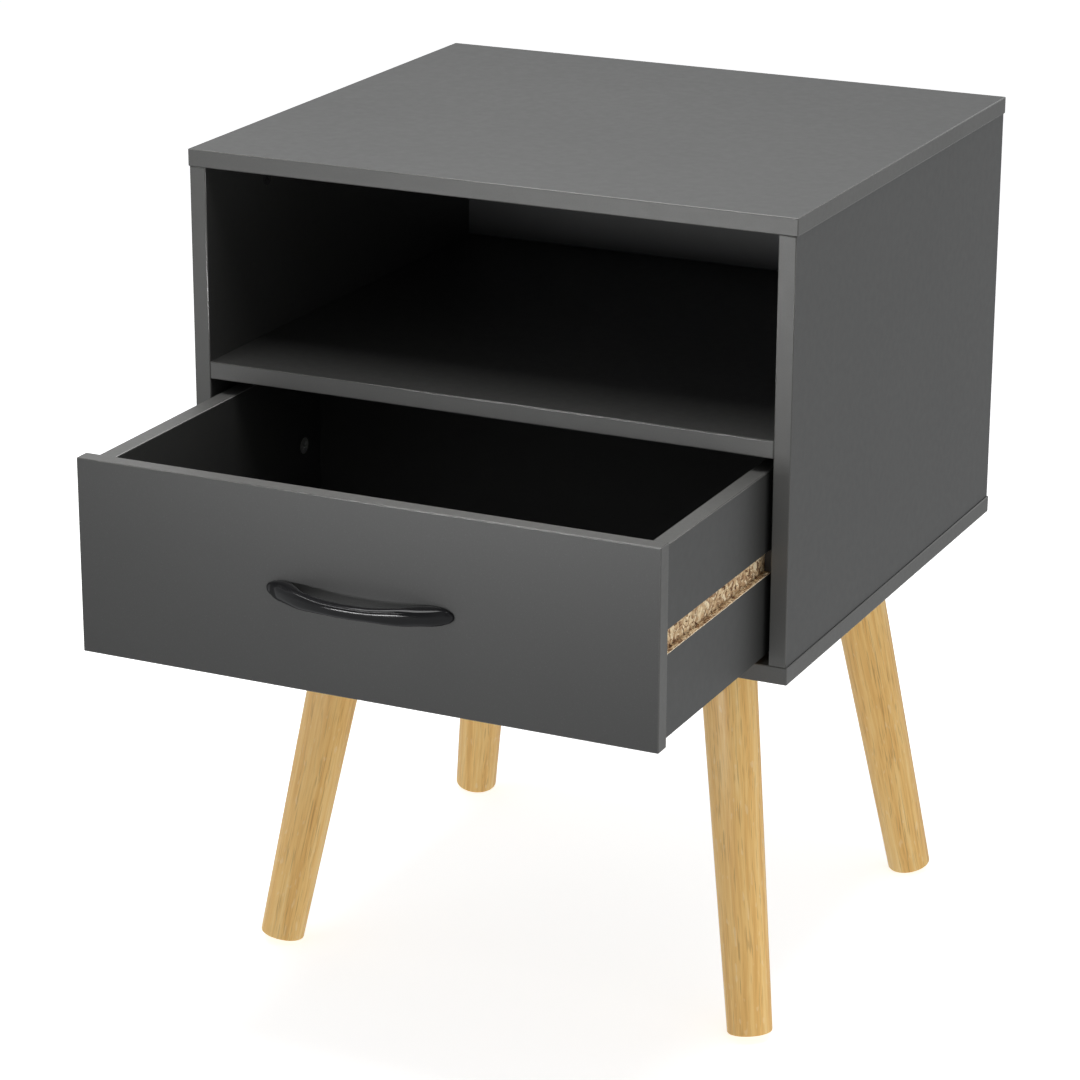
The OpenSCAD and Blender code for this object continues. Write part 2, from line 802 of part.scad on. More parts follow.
top_panel();
bottom_panel();
left_side_panel();
right_side_panel();
shelf_panel();
back_panel();
top_panel_edge_bands();
bottom_panel_edge_bands();
side_panel_edge_bands();
shelf_edge_band();
cabinet_dowels();
cabinet_cam_locks();
cabinet_cam_bolts();
back_panel_nails();
left_drawer_runner();
right_drawer_runner();
runner_screws();
front_left_leg_plate();
front_right_leg_plate();
rear_left_leg_plate();
rear_right_leg_plate();
leg_plate_screws();
leg_hanger_bolts();
front_left_leg();
front_right_leg();
rear_left_leg();
rear_right_leg();
drawer_front();
drawer_left_side();
drawer_right_side();
drawer_back();
drawer_bottom();
drawer_front_edge_bands();
drawer_box_edge_bands();
drawer_dowels();
drawer_cam_locks();
drawer_cam_bolts();
drawer_handle();
handle_screws();
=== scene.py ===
"""Looks of the side table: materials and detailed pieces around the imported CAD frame.

Metres, +Z up, front towards -Y. The CAD nodes give every place and size.
"""

import json
import math

import bmesh
import bpy
from mathutils import Matrix, Vector

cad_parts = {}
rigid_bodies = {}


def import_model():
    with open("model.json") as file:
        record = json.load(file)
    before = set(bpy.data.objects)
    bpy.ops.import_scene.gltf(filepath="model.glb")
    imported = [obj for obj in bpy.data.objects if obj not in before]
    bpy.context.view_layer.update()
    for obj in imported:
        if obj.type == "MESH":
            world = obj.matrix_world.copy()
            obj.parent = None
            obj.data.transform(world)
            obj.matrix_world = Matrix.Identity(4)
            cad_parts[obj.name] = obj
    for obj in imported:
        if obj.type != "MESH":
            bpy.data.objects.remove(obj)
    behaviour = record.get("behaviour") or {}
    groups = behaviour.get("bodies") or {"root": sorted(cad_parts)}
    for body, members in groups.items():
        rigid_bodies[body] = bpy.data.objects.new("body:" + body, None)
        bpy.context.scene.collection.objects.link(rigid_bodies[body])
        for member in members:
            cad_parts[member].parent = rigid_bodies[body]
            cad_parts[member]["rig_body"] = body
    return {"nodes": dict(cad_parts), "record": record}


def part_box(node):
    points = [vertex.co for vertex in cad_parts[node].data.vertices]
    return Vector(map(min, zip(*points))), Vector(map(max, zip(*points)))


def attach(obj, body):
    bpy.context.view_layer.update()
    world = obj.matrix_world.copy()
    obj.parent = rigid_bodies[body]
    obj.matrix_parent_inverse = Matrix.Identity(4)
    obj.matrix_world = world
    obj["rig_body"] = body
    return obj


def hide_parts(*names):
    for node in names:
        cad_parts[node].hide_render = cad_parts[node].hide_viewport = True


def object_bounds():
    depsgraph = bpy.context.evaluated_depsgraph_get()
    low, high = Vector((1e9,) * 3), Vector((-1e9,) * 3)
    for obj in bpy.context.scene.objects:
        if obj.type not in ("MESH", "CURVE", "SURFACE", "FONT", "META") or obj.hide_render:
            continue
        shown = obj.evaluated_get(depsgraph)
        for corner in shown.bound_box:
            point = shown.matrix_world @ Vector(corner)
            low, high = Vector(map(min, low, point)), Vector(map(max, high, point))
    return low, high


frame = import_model()
cad_low, cad_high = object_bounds()

MM = 0.001
X, Y, Z = 0, 1, 2
SIDES = (-1, 1)

# Places that are this close together count as the same
NEAR = 0.01 * MM
WELD = 0.001 * MM
# A face looks along an axis when its normal's part along it is above this
FACING = 0.99

# Photograph's view: where the camera looks from, and the point at the middle of the picture
VIEW_AZIMUTH = math.radians(25.39)
VIEW_ELEVATION = math.radians(18.9)
VIEW_ROLL = math.radians(0.18)
VIEW_DISTANCE = 2.5
VIEW_AIM = Vector((0.0324, -0.0798, 0.3438))
LENS_MM = 124.5
SENSOR_MM = 36.0


# ---------- Shader graph helpers ----------

class Graph:
    """A material's node tree, with short calls that make a node and link or set its inputs."""

    def __init__(self, name):
        self.material = bpy.data.materials.new(name)
        self.material.use_nodes = True
        self.tree = self.material.node_tree
        self.tree.nodes.clear()
        self.coords = self.tree.nodes.new("ShaderNodeTexCoord").outputs["Object"]

    def add(self, kind, inputs=None, **settings):
        node = self.tree.nodes.new("ShaderNode" + kind)
        for key, value in settings.items():
            setattr(node, key, value)
        for key, value in (inputs or {}).items():
            if isinstance(value, bpy.types.NodeSocket):
                self.tree.links.new(value, node.inputs[key])
            else:
                node.inputs[key].default_value = value
        return node

    def math(self, operation, a, b=0.0):
        return self.add("Math", {0: a, 1: b}, operation=operation).outputs[0]

    def moved(self, by, vector=None):
        """Coordinates moved by a vector, in metres."""
        return self.add("VectorMath", {0: vector or self.coords, 1: by}, operation="ADD").outputs[0]

    def scaled(self, scale, vector=None, turn=(0, 0, 0)):
        """Coordinates times a scale in patterns per metre, turned first."""
        turned = vector or self.coords
        if any(turn):
            turned = self.add("Mapping", {"Vector": turned, "Rotation": turn}).outputs[0]
        return self.add("VectorMath", {0: turned, 1: scale}, operation="MULTIPLY").outputs[0]

    def bent(self, scale, reach, vector=None):
        """Coordinates pushed about by a soft noise, by up to reach in metres along each axis."""
        push = self.add("TexNoise", {"Vector": self.scaled(scale, vector), "Scale": 1.0, "Detail": 2.0})
        return self.moved(self.scaled(reach, push.outputs["Color"]), vector)

    def noise(self, scale, detail=2.0, roughness=0.5, vector=None):
        """Noise from 0 to 1; scale is one number, or three for a stretched pattern."""
        xyz = (scale, scale, scale) if isinstance(scale, (int, float)) else scale
        return self.add("TexNoise", {
            "Vector": self.scaled(xyz, vector), "Scale": 1.0, "Detail": detail, "Roughness": roughness,
        }).outputs["Fac"]

    def ramp(self, value, *stops):
        """Colour ramp of two or more stops; each is a position and a grey level or a colour."""
        node = self.add("ValToRGB", {"Fac": value})
        elements = node.color_ramp.elements
        while len(elements) < len(stops):
            elements.new(0.5)
        for element, (position, level) in zip(elements, stops):
            element.position = position
            rgb = (level, level, level) if isinstance(level, (int, float)) else level
            element.color = (*rgb, 1.0)
        return node.outputs["Color"]

    def remap(self, value, low, high, to_low=0.0, to_high=1.0):
        return self.add("MapRange", {0: value, 1: low, 2: high, 3: to_low, 4: to_high}).outputs[0]

    def spread(self, noise, low=0.0, high=1.0):
        """Stretches a noise, which mostly stays between 0.3 and 0.7, over a range."""
        return self.remap(noise, 0.3, 0.7, low, high)

    def mix(self, factor, a, b, blend="MIX"):
        node = self.add("Mix", data_type="RGBA", blend_type=blend)
        for index, value in ((0, factor), (6, a), (7, b)):
            if isinstance(value, bpy.types.NodeSocket):
                self.tree.links.new(value, node.inputs[index])
            elif index == 0:
                node.inputs[index].default_value = value
            else:
                node.inputs[index].default_value = (*value, 1.0)
        return node.outputs[2]

    def mottle(self, noise, low_colour, high_colour):
        """A gentle change between two close colours, driven by a noise."""
        return self.mix(self.spread(noise), low_colour, high_colour)

    def bump(self, height, strength, distance):
        return self.add("Bump", {"Height": height, "Strength": strength, "Distance": distance}).outputs[0]

    def finish(self, **inputs):
        """Closes the graph with a Principled shader; names use _ for a space."""
        named = {key.replace("_", " "): value for key, value in inputs.items()}
        shader = self.add("BsdfPrincipled", named)
        output = self.add("OutputMaterial")
        self.tree.links.new(shader.outputs[0], output.inputs[0])
        return self.material


# ---------- Materials ----------

def melamine():
    """Anthracite foil on chipboard: fine pearl specks and a slight orange-peel surface."""
    g = Graph("anthracite_melamine")
    base = g.mottle(g.noise(9.0, detail=3.0), (0.0365, 0.0365, 0.0350), (0.0395, 0.0395, 0.0378))
    grain = g.noise(1500.0, detail=2.0, roughness=0.7)
    speck = g.ramp(grain, (0.60, 0.0), (0.74, 1.0))
    colour = g.mix(g.math("MULTIPLY", speck, 0.35), base, (0.11, 0.113, 0.115))
    pit = g.ramp(g.noise(1100.0, detail=2.0, roughness=0.6), (0.26, 1.0), (0.38, 0.0))
    colour = g.mix(g.math("MULTIPLY", pit, 0.4), colour, (0.020, 0.021, 0.021))
    peel = g.noise(420.0, detail=3.0, roughness=0.6)
    roughness = g.spread(g.noise(160.0, detail=4.0), 0.44, 0.48)
    return g.finish(Base_Color=colour, Roughness=roughness, Normal=g.bump(peel, 0.2, 0.00005))


def edge_band(name, low_roughness, high_roughness):
    """Extruded plastic strip, a little lighter and warmer than the panels, with a fine even grain."""
    g = Graph(name)
    colour = g.mottle(g.noise(14.0, detail=2.0), (0.086, 0.085, 0.081), (0.094, 0.093, 0.089))
    fine = g.noise(900.0, detail=2.0)
    colour = g.mix(g.ramp(fine, (0.35, 0.25), (0.5, 0.0)), colour, (0.07, 0.07, 0.067))
    roughness = g.spread(g.noise(250.0, detail=3.0), low_roughness, high_roughness)
    return g.finish(Base_Color=colour, Roughness=roughness, Normal=g.bump(fine, 0.2, 0.00004))


def chipboard():
    """Raw cut chipboard: long straw and brown chips lying across each other, with pits between them, which
    are a bump with painted shade in the colour.
    """
    g = Graph("raw_chipboard")
    bent = g.bent((240.0,) * 3, (0.0028,) * 3)

    def chips(turn, size):
        """A layer of chips: each one's shade, and the random value that decides whether it shows."""
        cells = g.add("TexVoronoi", {"Vector": g.scaled(size, bent, turn=(turn, 0, 0)), "Scale": 1.0})
        random = g.add("SeparateColor", {0: cells.outputs["Color"]}).outputs
        return random[0], random[1]

    def covered(below, layer, limit):
        """The shades below, under those chips of the layer whose random value is over the limit."""
        above, value = layer
        shows = g.math("GREATER_THAN", value, limit)
        return g.math("ADD", g.math("MULTIPLY", above, shows),
                      g.math("MULTIPLY", below, g.math("SUBTRACT", 1.0, shows)))

    shade, _ = chips(0.85, (400.0, 130.0, 440.0))
    shade = covered(shade, chips(-1.0, (420.0, 140.0, 470.0)), 0.55)
    shade = covered(shade, chips(0.15, (600.0, 260.0, 700.0)), 0.72)
    colour = g.ramp(
        shade, (0.0, (0.13, 0.06, 0.025)), (0.16, (0.28, 0.15, 0.07)), (0.34, (0.50, 0.32, 0.175)),
        (0.66, (0.74, 0.55, 0.32)), (1.0, (0.96, 0.81, 0.56)))
    fibre = g.noise((2200.0, 500.0, 2200.0), detail=2.0, roughness=0.6)
    # Painted shade: the colour darkens in the pits, where the bump is lowest
    painted_pit_shade = g.ramp(fibre, (0.28, 0.45), (0.44, 1.0))
    colour = g.mix(1.0, colour, painted_pit_shade, blend="MULTIPLY")
    height = g.math("ADD", g.math("MULTIPLY", shade, 0.7), fibre)
    return g.finish(Base_Color=colour, Roughness=0.9, Normal=g.bump(height, 0.8, 0.0005))


def cut_edge():
    """The pale lip that a cutter leaves where it breaks through the foil."""
    g = Graph("pale_cut_edge")
    torn = g.noise(900.0, detail=3.0)
    colour = g.ramp(torn, (0.35, (0.60, 0.46, 0.30)), (0.6, (0.92, 0.80, 0.62)))
    return g.finish(Base_Color=colour, Roughness=0.85, Normal=g.bump(torn, 0.5, 0.0001))


def hardboard(raw_side):
    """Lacquered anthracite on the face and the edges; raw_side is the hidden brown side's direction."""
    g = Graph("lacquered_hardboard")
    normal = g.add("TexCoord").outputs["Normal"]
    facing = g.add("VectorMath", {0: normal, 1: raw_side}, operation="DOT_PRODUCT").outputs["Value"]
    raw = g.math("GREATER_THAN", facing, 0.5)
    lacquer = g.mottle(g.noise(25.0, detail=4.0), (0.040, 0.041, 0.043), (0.050, 0.051, 0.053))
    fibres = g.noise(520.0, detail=4.0, roughness=0.7)
    brown = g.mottle(fibres, (0.20, 0.115, 0.060), (0.33, 0.205, 0.115))
    dots = g.add("TexVoronoi", {"Vector": g.scaled((620.0,) * 3), "Scale": 1.0, "Randomness": 0.15})
    screen = dots.outputs["Distance"]
    brown = g.mix(g.math("MULTIPLY", screen, 0.5), brown, (0.12, 0.07, 0.04))
    colour = g.mix(raw, lacquer, brown)
    roughness = g.remap(raw, 0.0, 1.0, 0.5, 0.85)
    height = g.math("MULTIPLY", g.math("SUBTRACT", 1.0, screen), raw)
    return g.finish(Base_Color=colour, Roughness=roughness, Normal=g.bump(height, 0.5, 0.00025))


def oak(name, offset, turn):
    """Straight-grained pale wood under satin lacquer; turn brings the grain's direction to Z."""
    g = Graph(name)
    at = g.add("Mapping", {"Vector": g.coords, "Location": offset, "Rotation": turn}).outputs[0]
    at = g.bent((16.0, 16.0, 7.0), (0.006, 0.006, 0.0), at)
    streak = g.noise((330.0, 330.0, 9.0), detail=3.0, roughness=0.6, vector=at)
    broad = g.noise((110.0, 110.0, 4.0), detail=1.0, vector=at)
    fine = g.noise((1100.0, 1100.0, 28.0), detail=2.0, roughness=0.6, vector=at)
    tone = g.math("ADD", g.math("MULTIPLY", streak, 0.5), g.math("MULTIPLY", broad, 0.3))
    tone = g.math("ADD", tone, g.math("MULTIPLY", fine, 0.2))
    colour = g.ramp(
        tone, (0.36, (0.95, 0.66, 0.28)), (0.47, (0.91, 0.58, 0.20)), (0.56, (0.84, 0.49, 0.145)),
        (0.70, (0.68, 0.36, 0.095)))
    pore = g.noise((1100.0, 1100.0, 45.0), detail=1.0, vector=g.moved((0.3, 0.7, 0.1), at))
    vessels = g.noise((260.0, 260.0, 6.0), detail=1.0, vector=at)
    pores = g.math(
        "MULTIPLY", g.ramp(pore, (0.56, 0.0), (0.66, 1.0)), g.ramp(vessels, (0.42, 0.25), (0.58, 1.0)))
    colour = g.mix(g.math("MULTIPLY", pores, 0.42), colour, (0.30, 0.135, 0.035))
    ray = g.noise((420.0, 420.0, 130.0), detail=0.0, vector=at)
    flecks = g.ramp(ray, (0.72, 0.0), (0.78, 1.0))
    colour = g.mix(g.math("MULTIPLY", flecks, 0.3), colour, (0.95, 0.75, 0.46))
    roughness = g.spread(streak, 0.36, 0.48)
    height = g.math("SUBTRACT", g.math("MULTIPLY", streak, 0.4), pores)
    return g.finish(Base_Color=colour, Roughness=roughness, Normal=g.bump(height, 0.3, 0.00012))


def beech():
    g = Graph("raw_beech")
    grain = g.noise(500.0, detail=4.0, roughness=0.7)
    colour = g.mottle(grain, (0.60, 0.40, 0.22), (0.72, 0.54, 0.34))
    return g.finish(Base_Color=colour, Roughness=0.75, Normal=g.bump(grain, 0.3, 0.0002))


def metal(name, base, roughness):
    """Plated metal with a slightly uneven finish."""
    g = Graph(name)
    uneven = g.noise(350.0, detail=4.0, roughness=0.6)
    shade = tuple(0.86 * c for c in base)
    colour = g.mottle(uneven, shade, base)
    rough = g.spread(uneven, roughness - 0.06, roughness + 0.08)
    return g.finish(Base_Color=colour, Metallic=1.0, Roughness=rough, Normal=g.bump(uneven, 0.15, 0.00008))


def coated(name, base, roughness, strength=0.3):
    """Paint, powder coat or moulded plastic with a fine surface grain."""
    g = Graph(name)
    fine = g.noise(700.0, detail=2.0)
    light = tuple(1.18 * c for c in base)
    colour = g.mottle(g.noise(30.0, detail=3.0), base, light)
    rough = g.spread(fine, roughness - 0.05, roughness + 0.05)
    return g.finish(Base_Color=colour, Roughness=rough, Normal=g.bump(fine, strength, 0.00008))


def gloss_black():
    """Black lacquer over cast metal: very smooth, with the faint waviness of a casting."""
    g = Graph("gloss_black_lacquer")
    wave = g.noise(55.0, detail=2.0)
    colour = g.mottle(wave, (0.005, 0.005, 0.006), (0.008, 0.008, 0.009))
    rough = g.spread(g.noise(2200.0, detail=1.0), 0.15, 0.2)
    return g.finish(Base_Color=colour, Roughness=rough, Specular_IOR_Level=0.3,
                    Normal=g.bump(wave, 0.1, 0.0002))


MELAMINE = melamine()
EDGE_BAND = edge_band("anthracite_edge_band", 0.46, 0.52)
SCRAPED_EDGE = edge_band("scraped_band_radius", 0.18, 0.24)
CHIPBOARD = chipboard()
CUT_EDGE = cut_edge()
BEECH = beech()
ZINC = metal("zinc_plate", (0.66, 0.67, 0.69), 0.28)
CAST_ZINC = metal("cast_zinc", (0.78, 0.78, 0.77), 0.5)
DARK_CAST = coated("dark_cast_zinc", (0.022, 0.022, 0.022), 0.6)
BLACK_PLATE = coated("black_powder_coat", (0.022, 0.022, 0.023), 0.5, strength=0.6)
RUNNER_PLASTIC = coated("runner_plastic", (0.055, 0.055, 0.056), 0.5)
GLOSS_BLACK = gloss_black()


# ---------- Pieces made from the CAD nodes ----------

def paint(node, material):
    """Gives a CAD node its material and keeps its shape."""
    node_mesh = frame["nodes"][node].data
    node_mesh.materials.clear()
    node_mesh.materials.append(material)


def welded(node):
    """A node's mesh with shared corners and whole flat faces, ready for mesh work."""
    mesh = bmesh.new()
    mesh.from_mesh(frame["nodes"][node].data)
    bmesh.ops.remove_doubles(mesh, verts=mesh.verts, dist=WELD)
    bmesh.ops.dissolve_limit(mesh, angle_limit=math.radians(0.3), verts=mesh.verts, edges=mesh.edges)
    bmesh.ops.recalc_face_normals(mesh, faces=mesh.faces)
    return mesh


def body_of(node):
    return frame["nodes"][node]["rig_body"]


def slot_of(node):
    rows = frame["record"]["subparts"]
    return next(row["material_slot"] for row in rows if row["node"] == node)


def piece(name, mesh, node, materials, place=None):
    """Makes the object that stands for a CAD node."""
    data = bpy.data.meshes.new(name)
    mesh.to_mesh(data)
    mesh.free()
    for material in materials:
        data.materials.append(material)
    made = bpy.data.objects.new(name, data)
    if place is not None:
        made.matrix_world = place
    bpy.context.scene.collection.objects.link(made)
    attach(made, body_of(node))
    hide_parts(node)
    slot_of(node)
    return made


def smooth_by_angle(mesh, degrees):
    """Smooth shading, with sharp edges where faces meet at more than this angle."""
    for face in mesh.faces:
        face.smooth = True
    for edge in mesh.edges:
        edge.smooth = edge.calc_face_angle(math.pi) < math.radians(degrees)


# ---------- Boards and edge bands ----------

SEAM_EASE = 0.35 * MM
GROOVE_LIP = 0.3 * MM
# The groove's long edges lie at least this far inside the board's own edges
GROOVE_INSIDE = 20 * MM
BAND_RADIUS = 0.7 * MM


def board(node, axis, seam_axis=None, groove_side=0):
    """A coated board: foil on the two faces across its thickness, raw chipboard everywhere else.

    seam_axis is the direction of the ends whose edges are eased, which shows as a dark joint line.
    groove_side is the sign of the face that a runner groove is cut into; the groove gets pale lips."""
    mesh = welded(node)
    low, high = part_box(node)

    def lies_at(edge, along, place):
        return all(abs(v.co[along] - place) < NEAR for v in edge.verts)

    def is_groove_edge(edge, face_x):
        first, second = edge.verts
        inside = all(low.z + GROOVE_INSIDE < v.co.z < high.z - GROOVE_INSIDE for v in edge.verts)
        return lies_at(edge, axis, face_x) and inside and abs(first.co.z - second.co.z) < NEAR

    for face in mesh.faces:
        at = face.calc_center_median()[axis]
        outer = min(abs(at - low[axis]), abs(at - high[axis])) < NEAR
        face.material_index = 0 if outer and abs(face.normal[axis]) > FACING else 1
    rims = [edge for edge in mesh.edges if {face.material_index for face in edge.link_faces} == {0, 1}]
    if seam_axis is not None:
        ends = (low[seam_axis], high[seam_axis])
        eased = [edge for edge in rims if any(lies_at(edge, seam_axis, end) for end in ends)]
        bmesh.ops.bevel(mesh, geom=eased, offset=SEAM_EASE, segments=2, profile=0.5, affect="EDGES")
    if groove_side:
        face_x = (high if groove_side > 0 else low)[axis]
        lips = [edge for edge in rims if is_groove_edge(edge, face_x)]
        made = bmesh.ops.bevel(mesh, geom=lips, offset=GROOVE_LIP, segments=1, profile=0.5, affect="EDGES")
        for face in made["faces"]:
            face.material_index = 2
    return piece(node + "_board", mesh, node, [MELAMINE, CHIPBOARD, CUT_EDGE])


def islands(mesh):
    """Groups of vertices that are joined by edges."""
    left = set(mesh.verts)
    while left:
        group, queue = set(), [left.pop()]
        while queue:
            v = queue.pop()
            group.add(v)
            near = [edge.other_vert(v) for edge in v.link_edges]
            queue += [w for w in near if w in left]
            left -= set(near)
        yield group


def outline(island, axis, sign):
    """The edges round a strip's outermost flat face in one direction."""
    reach = max(sign * v.co[axis] for v in island)
    faces = {
        face for v in island for face in v.link_faces
        if sign * face.normal[axis] > FACING
        and all(abs(sign * w.co[axis] - reach) < NEAR for w in face.verts)
    }
    return {edge for face in faces for edge in face.edges if edge.calc_face_angle(0.0) > 1.0}


def bands(node, outward):
    """Edge bands with scraped, rounded outer edges; outward lists (axis, sign) of the faces that show."""
    mesh = welded(node)
    outer_edges = set()
    for island in islands(mesh):
        for axis, sign in outward:
            outer_edges |= outline(island, axis, sign)
    made = bmesh.ops.bevel(
        mesh, geom=list(outer_edges), offset=BAND_RADIUS, segments=4, profile=0.5, affect="EDGES")
    radius_faces = set(made["faces"])
    for face in mesh.faces:
        face.smooth = face in radius_faces
        face.material_index = 1 if face in radius_faces else 0
    return piece(node + "_strips", mesh, node, [EDGE_BAND, SCRAPED_EDGE])


# ---------- Legs ----------

LEG_FOOT_R = 15.7 * MM
LEG_TOP_R = 19.7 * MM
LEG_FOOT_EDGE = 1.5 * MM
LEG_TOP_EDGE = 1 * MM
LEG_BORE_R = 4 * MM
LEG_BORE_DEPTH = 32 * MM
LEG_SEGMENTS = 128
LEG_EDGE_STEPS = 6


def quarter_round(radius, edge, at, start):
    """A leg's rounded end as (radius, height) points; start is -90 for the lower end, 0 for the upper."""
    centre = at + edge if start < 0 else at - edge
    turns = [math.radians(start + 90 * i / LEG_EDGE_STEPS) for i in range(LEG_EDGE_STEPS + 1)]
    return [(radius - edge + edge * math.cos(a), centre + edge * math.sin(a)) for a in turns]


def leg(node, name, offset):
    """A turned leg with its origin at the foot and the grain along its axis."""
    solid = welded(node)
    sole = max((f for f in solid.faces if f.normal.z < -0.9), key=lambda f: f.calc_area())
    foot, up = sole.calc_center_median_weighted(), -sole.normal.copy()
    length = max((v.co - foot).dot(up) for v in solid.verts)
    solid.free()
    bore_end = length - LEG_BORE_DEPTH
    points = [(0.0, 0.0)]
    points += quarter_round(LEG_FOOT_R, LEG_FOOT_EDGE, 0.0, -90)
    points += quarter_round(LEG_TOP_R, LEG_TOP_EDGE, length, 0)
    points += [(LEG_BORE_R, length), (LEG_BORE_R, bore_end), (0.0, bore_end)]
    mesh = bmesh.new()
    profile = [mesh.verts.new((r, 0.0, z)) for r, z in points]
    edges = [mesh.edges.new(pair) for pair in zip(profile, profile[1:])]
    bmesh.ops.spin(mesh, geom=profile + edges, axis=(0, 0, 1), cent=(0, 0, 0), steps=LEG_SEGMENTS,
                   angle=2 * math.pi, use_merge=True)
    bmesh.ops.remove_doubles(mesh, verts=mesh.verts, dist=WELD)
    bmesh.ops.recalc_face_normals(mesh, faces=mesh.faces)
    smooth_by_angle(mesh, 30)
    lean = up.to_track_quat("Z", "Y")
    mesh.transform(lean.to_matrix().to_4x4())
    material = oak(name, offset, lean.inverted().to_euler())
    return piece("turned_" + node, mesh, node, [material], Matrix.Translation(foot))


# ---------- Handle ----------

BOW_T = 8.2 * MM
BOW_H = 8.8 * MM
FOOT_INNER = 52 * MM
BOW_FREE = 34 * MM
FOOT_SINK = 3 * MM
ARC_HALF = 62 * MM
ARC_END_RISE = 1 * MM
BOW_EVEN = 12 * MM
BOW_GROWTH_L = 32 * MM
TIP_L = 13 * MM
TIP_SHARE = 0.99
FULLNESS = 0.8
HANDLE_RINGS = 161
HANDLE_AROUND = 64


def smooth(t):
    c = min(1.0, max(0.0, t))
    return c * c * (3 - 2 * c)


def fuller(v):
    """Turns a sine or cosine into that of a squarer oval."""
    return math.copysign(abs(v) ** FULLNESS, v)


def handle():
    """The cast bow: sections between its inner and outer arcs, cut flat by the drawer front."""
    low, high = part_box("drawer_handle")
    half_l = (high.x - low.x) / 2
    reach = high.y - low.y
    foot_h = high.z - low.z
    mid_z = (low.z + high.z) / 2
    rise = reach - BOW_T / 2 - ARC_END_RISE
    arc_r = (ARC_HALF ** 2 + rise ** 2) / (2 * rise)
    angles = [2 * math.pi * k / HANDLE_AROUND for k in range(HANDLE_AROUND)]

    def arc_at(x, r):
        return math.sqrt(r * r - x * x) + reach - BOW_T / 2 - arc_r

    def section(x):
        ax = abs(x)
        t = max(0.0, (ax - half_l + TIP_L) / TIP_L)
        tip = math.sqrt(1 - TIP_SHARE * t * t)
        foot = smooth((ax - BOW_FREE) / (FOOT_INNER - BOW_FREE))
        outer = arc_at(min(ax, ARC_HALF), arc_r + BOW_T / 2) * tip
        bow_inner = max(0.0, arc_at(min(ax, FOOT_INNER), arc_r - BOW_T / 2))
        inner = bow_inner * (1 - foot) - FOOT_SINK * tip * foot
        growth = smooth((ax - BOW_EVEN) / BOW_GROWTH_L)
        half_h = (BOW_H / 2 + (foot_h - BOW_H) / 2 * growth) * tip
        centre, half_t = (outer + inner) / 2, (outer - inner) / 2
        outs = [max(0.0, centre + half_t * fuller(math.sin(a))) for a in angles]
        ups = [half_h * fuller(math.cos(a)) for a in angles]
        return [(x, high.y - out, mid_z + up) for out, up in zip(outs, ups)]

    mesh = bmesh.new()
    # The sections crowd towards the tips, where the shape changes fastest
    shares = [2 * i / (HANDLE_RINGS - 1) - 1 for i in range(HANDLE_RINGS)]
    stations = [half_l * math.sin(math.pi / 2 * share) for share in shares]
    loops = [[mesh.verts.new(p) for p in section(x)] for x in stations]
    for first, second in zip(loops, loops[1:]):
        for k in range(HANDLE_AROUND):
            n = (k + 1) % HANDLE_AROUND
            mesh.faces.new((first[k], first[n], second[n], second[k]))
    mesh.faces.new(reversed(loops[0]))
    mesh.faces.new(loops[-1])
    bmesh.ops.recalc_face_normals(mesh, faces=mesh.faces)
    smooth_by_angle(mesh, 50)
    return piece("bow_handle", mesh, "drawer_handle", [GLOSS_BLACK])


# ---------- Putting the pieces together ----------

for name, axis in (
    ("top_panel", Z), ("bottom_panel", Z), ("shelf_panel", Z), ("drawer_front", Y), ("drawer_back", Y),
):
    board(name, axis)
for side, name in zip(SIDES, ("left", "right")):
    board(name + "_side_panel", X, seam_axis=Z)
    board(f"drawer_{name}_side", X, groove_side=side)

AROUND_XY = [(X, -1), (X, 1), (Y, -1), (Y, 1)]
AROUND_XZ = [(X, -1), (X, 1), (Z, -1), (Z, 1)]
for name, outward in (
    ("top_panel_edge_bands", AROUND_XY), ("bottom_panel_edge_bands", AROUND_XY),
    ("side_panel_edge_bands", [(Y, -1)]), ("shelf_edge_band", [(Y, -1)]),
    ("drawer_front_edge_bands", AROUND_XZ), ("drawer_box_edge_bands", [(Z, 1)]),
):
    bands(name, outward)

handle()

# Each leg is cut from another place in the wood
CORNERS = {
    "front_left": (0.0, 0.0, 0.0), "front_right": (0.31, 0.12, 0.4),
    "rear_left": (0.17, 0.43, 0.9), "rear_right": (0.53, 0.27, 1.3),
}
paint("back_panel", hardboard((0.0, 1.0, 0.0)))
paint("drawer_bottom", hardboard((0.0, 0.0, -1.0)))
for corner, offset in CORNERS.items():
    leg(corner + "_leg", corner + "_oak", offset)
    paint(corner + "_leg_plate", BLACK_PLATE)
for name in ("cabinet_dowels", "drawer_dowels"):
    paint(name, BEECH)
for name in ("left_drawer_runner", "right_drawer_runner"):
    paint(name, RUNNER_PLASTIC)
paint("cabinet_cam_locks", DARK_CAST)
paint("drawer_cam_locks", CAST_ZINC)
for name in (
    "cabinet_cam_bolts", "back_panel_nails", "runner_screws", "leg_plate_screws", "leg_hanger_bolts",
    "drawer_cam_bolts", "handle_screws",
):
    paint(name, ZINC)


# ---------- Studio ----------

COVE_RADIUS = 9.0
COVE_BEND = 3.0
COVE_HEIGHT = 8.0
COVE_GLOW = 0.66
COVE_BEND_STEPS = 24
COVE_SEGMENTS = 96

# Strengths of the world's light
WORLD_BASE = 0.03
WORLD_FROM_SIDES = 0.55
WORLD_FROM_BEHIND = 0.62
WORLD_FROM_FLOOR = 0.68
# Height of the direction, as the Z of its unit vector, where the floor's light begins and is full
FLOOR_BEGINS = 0.05
FLOOR_FULL = -0.15
WORLD_COLOUR = (0.975, 0.99, 1.0, 1.0)


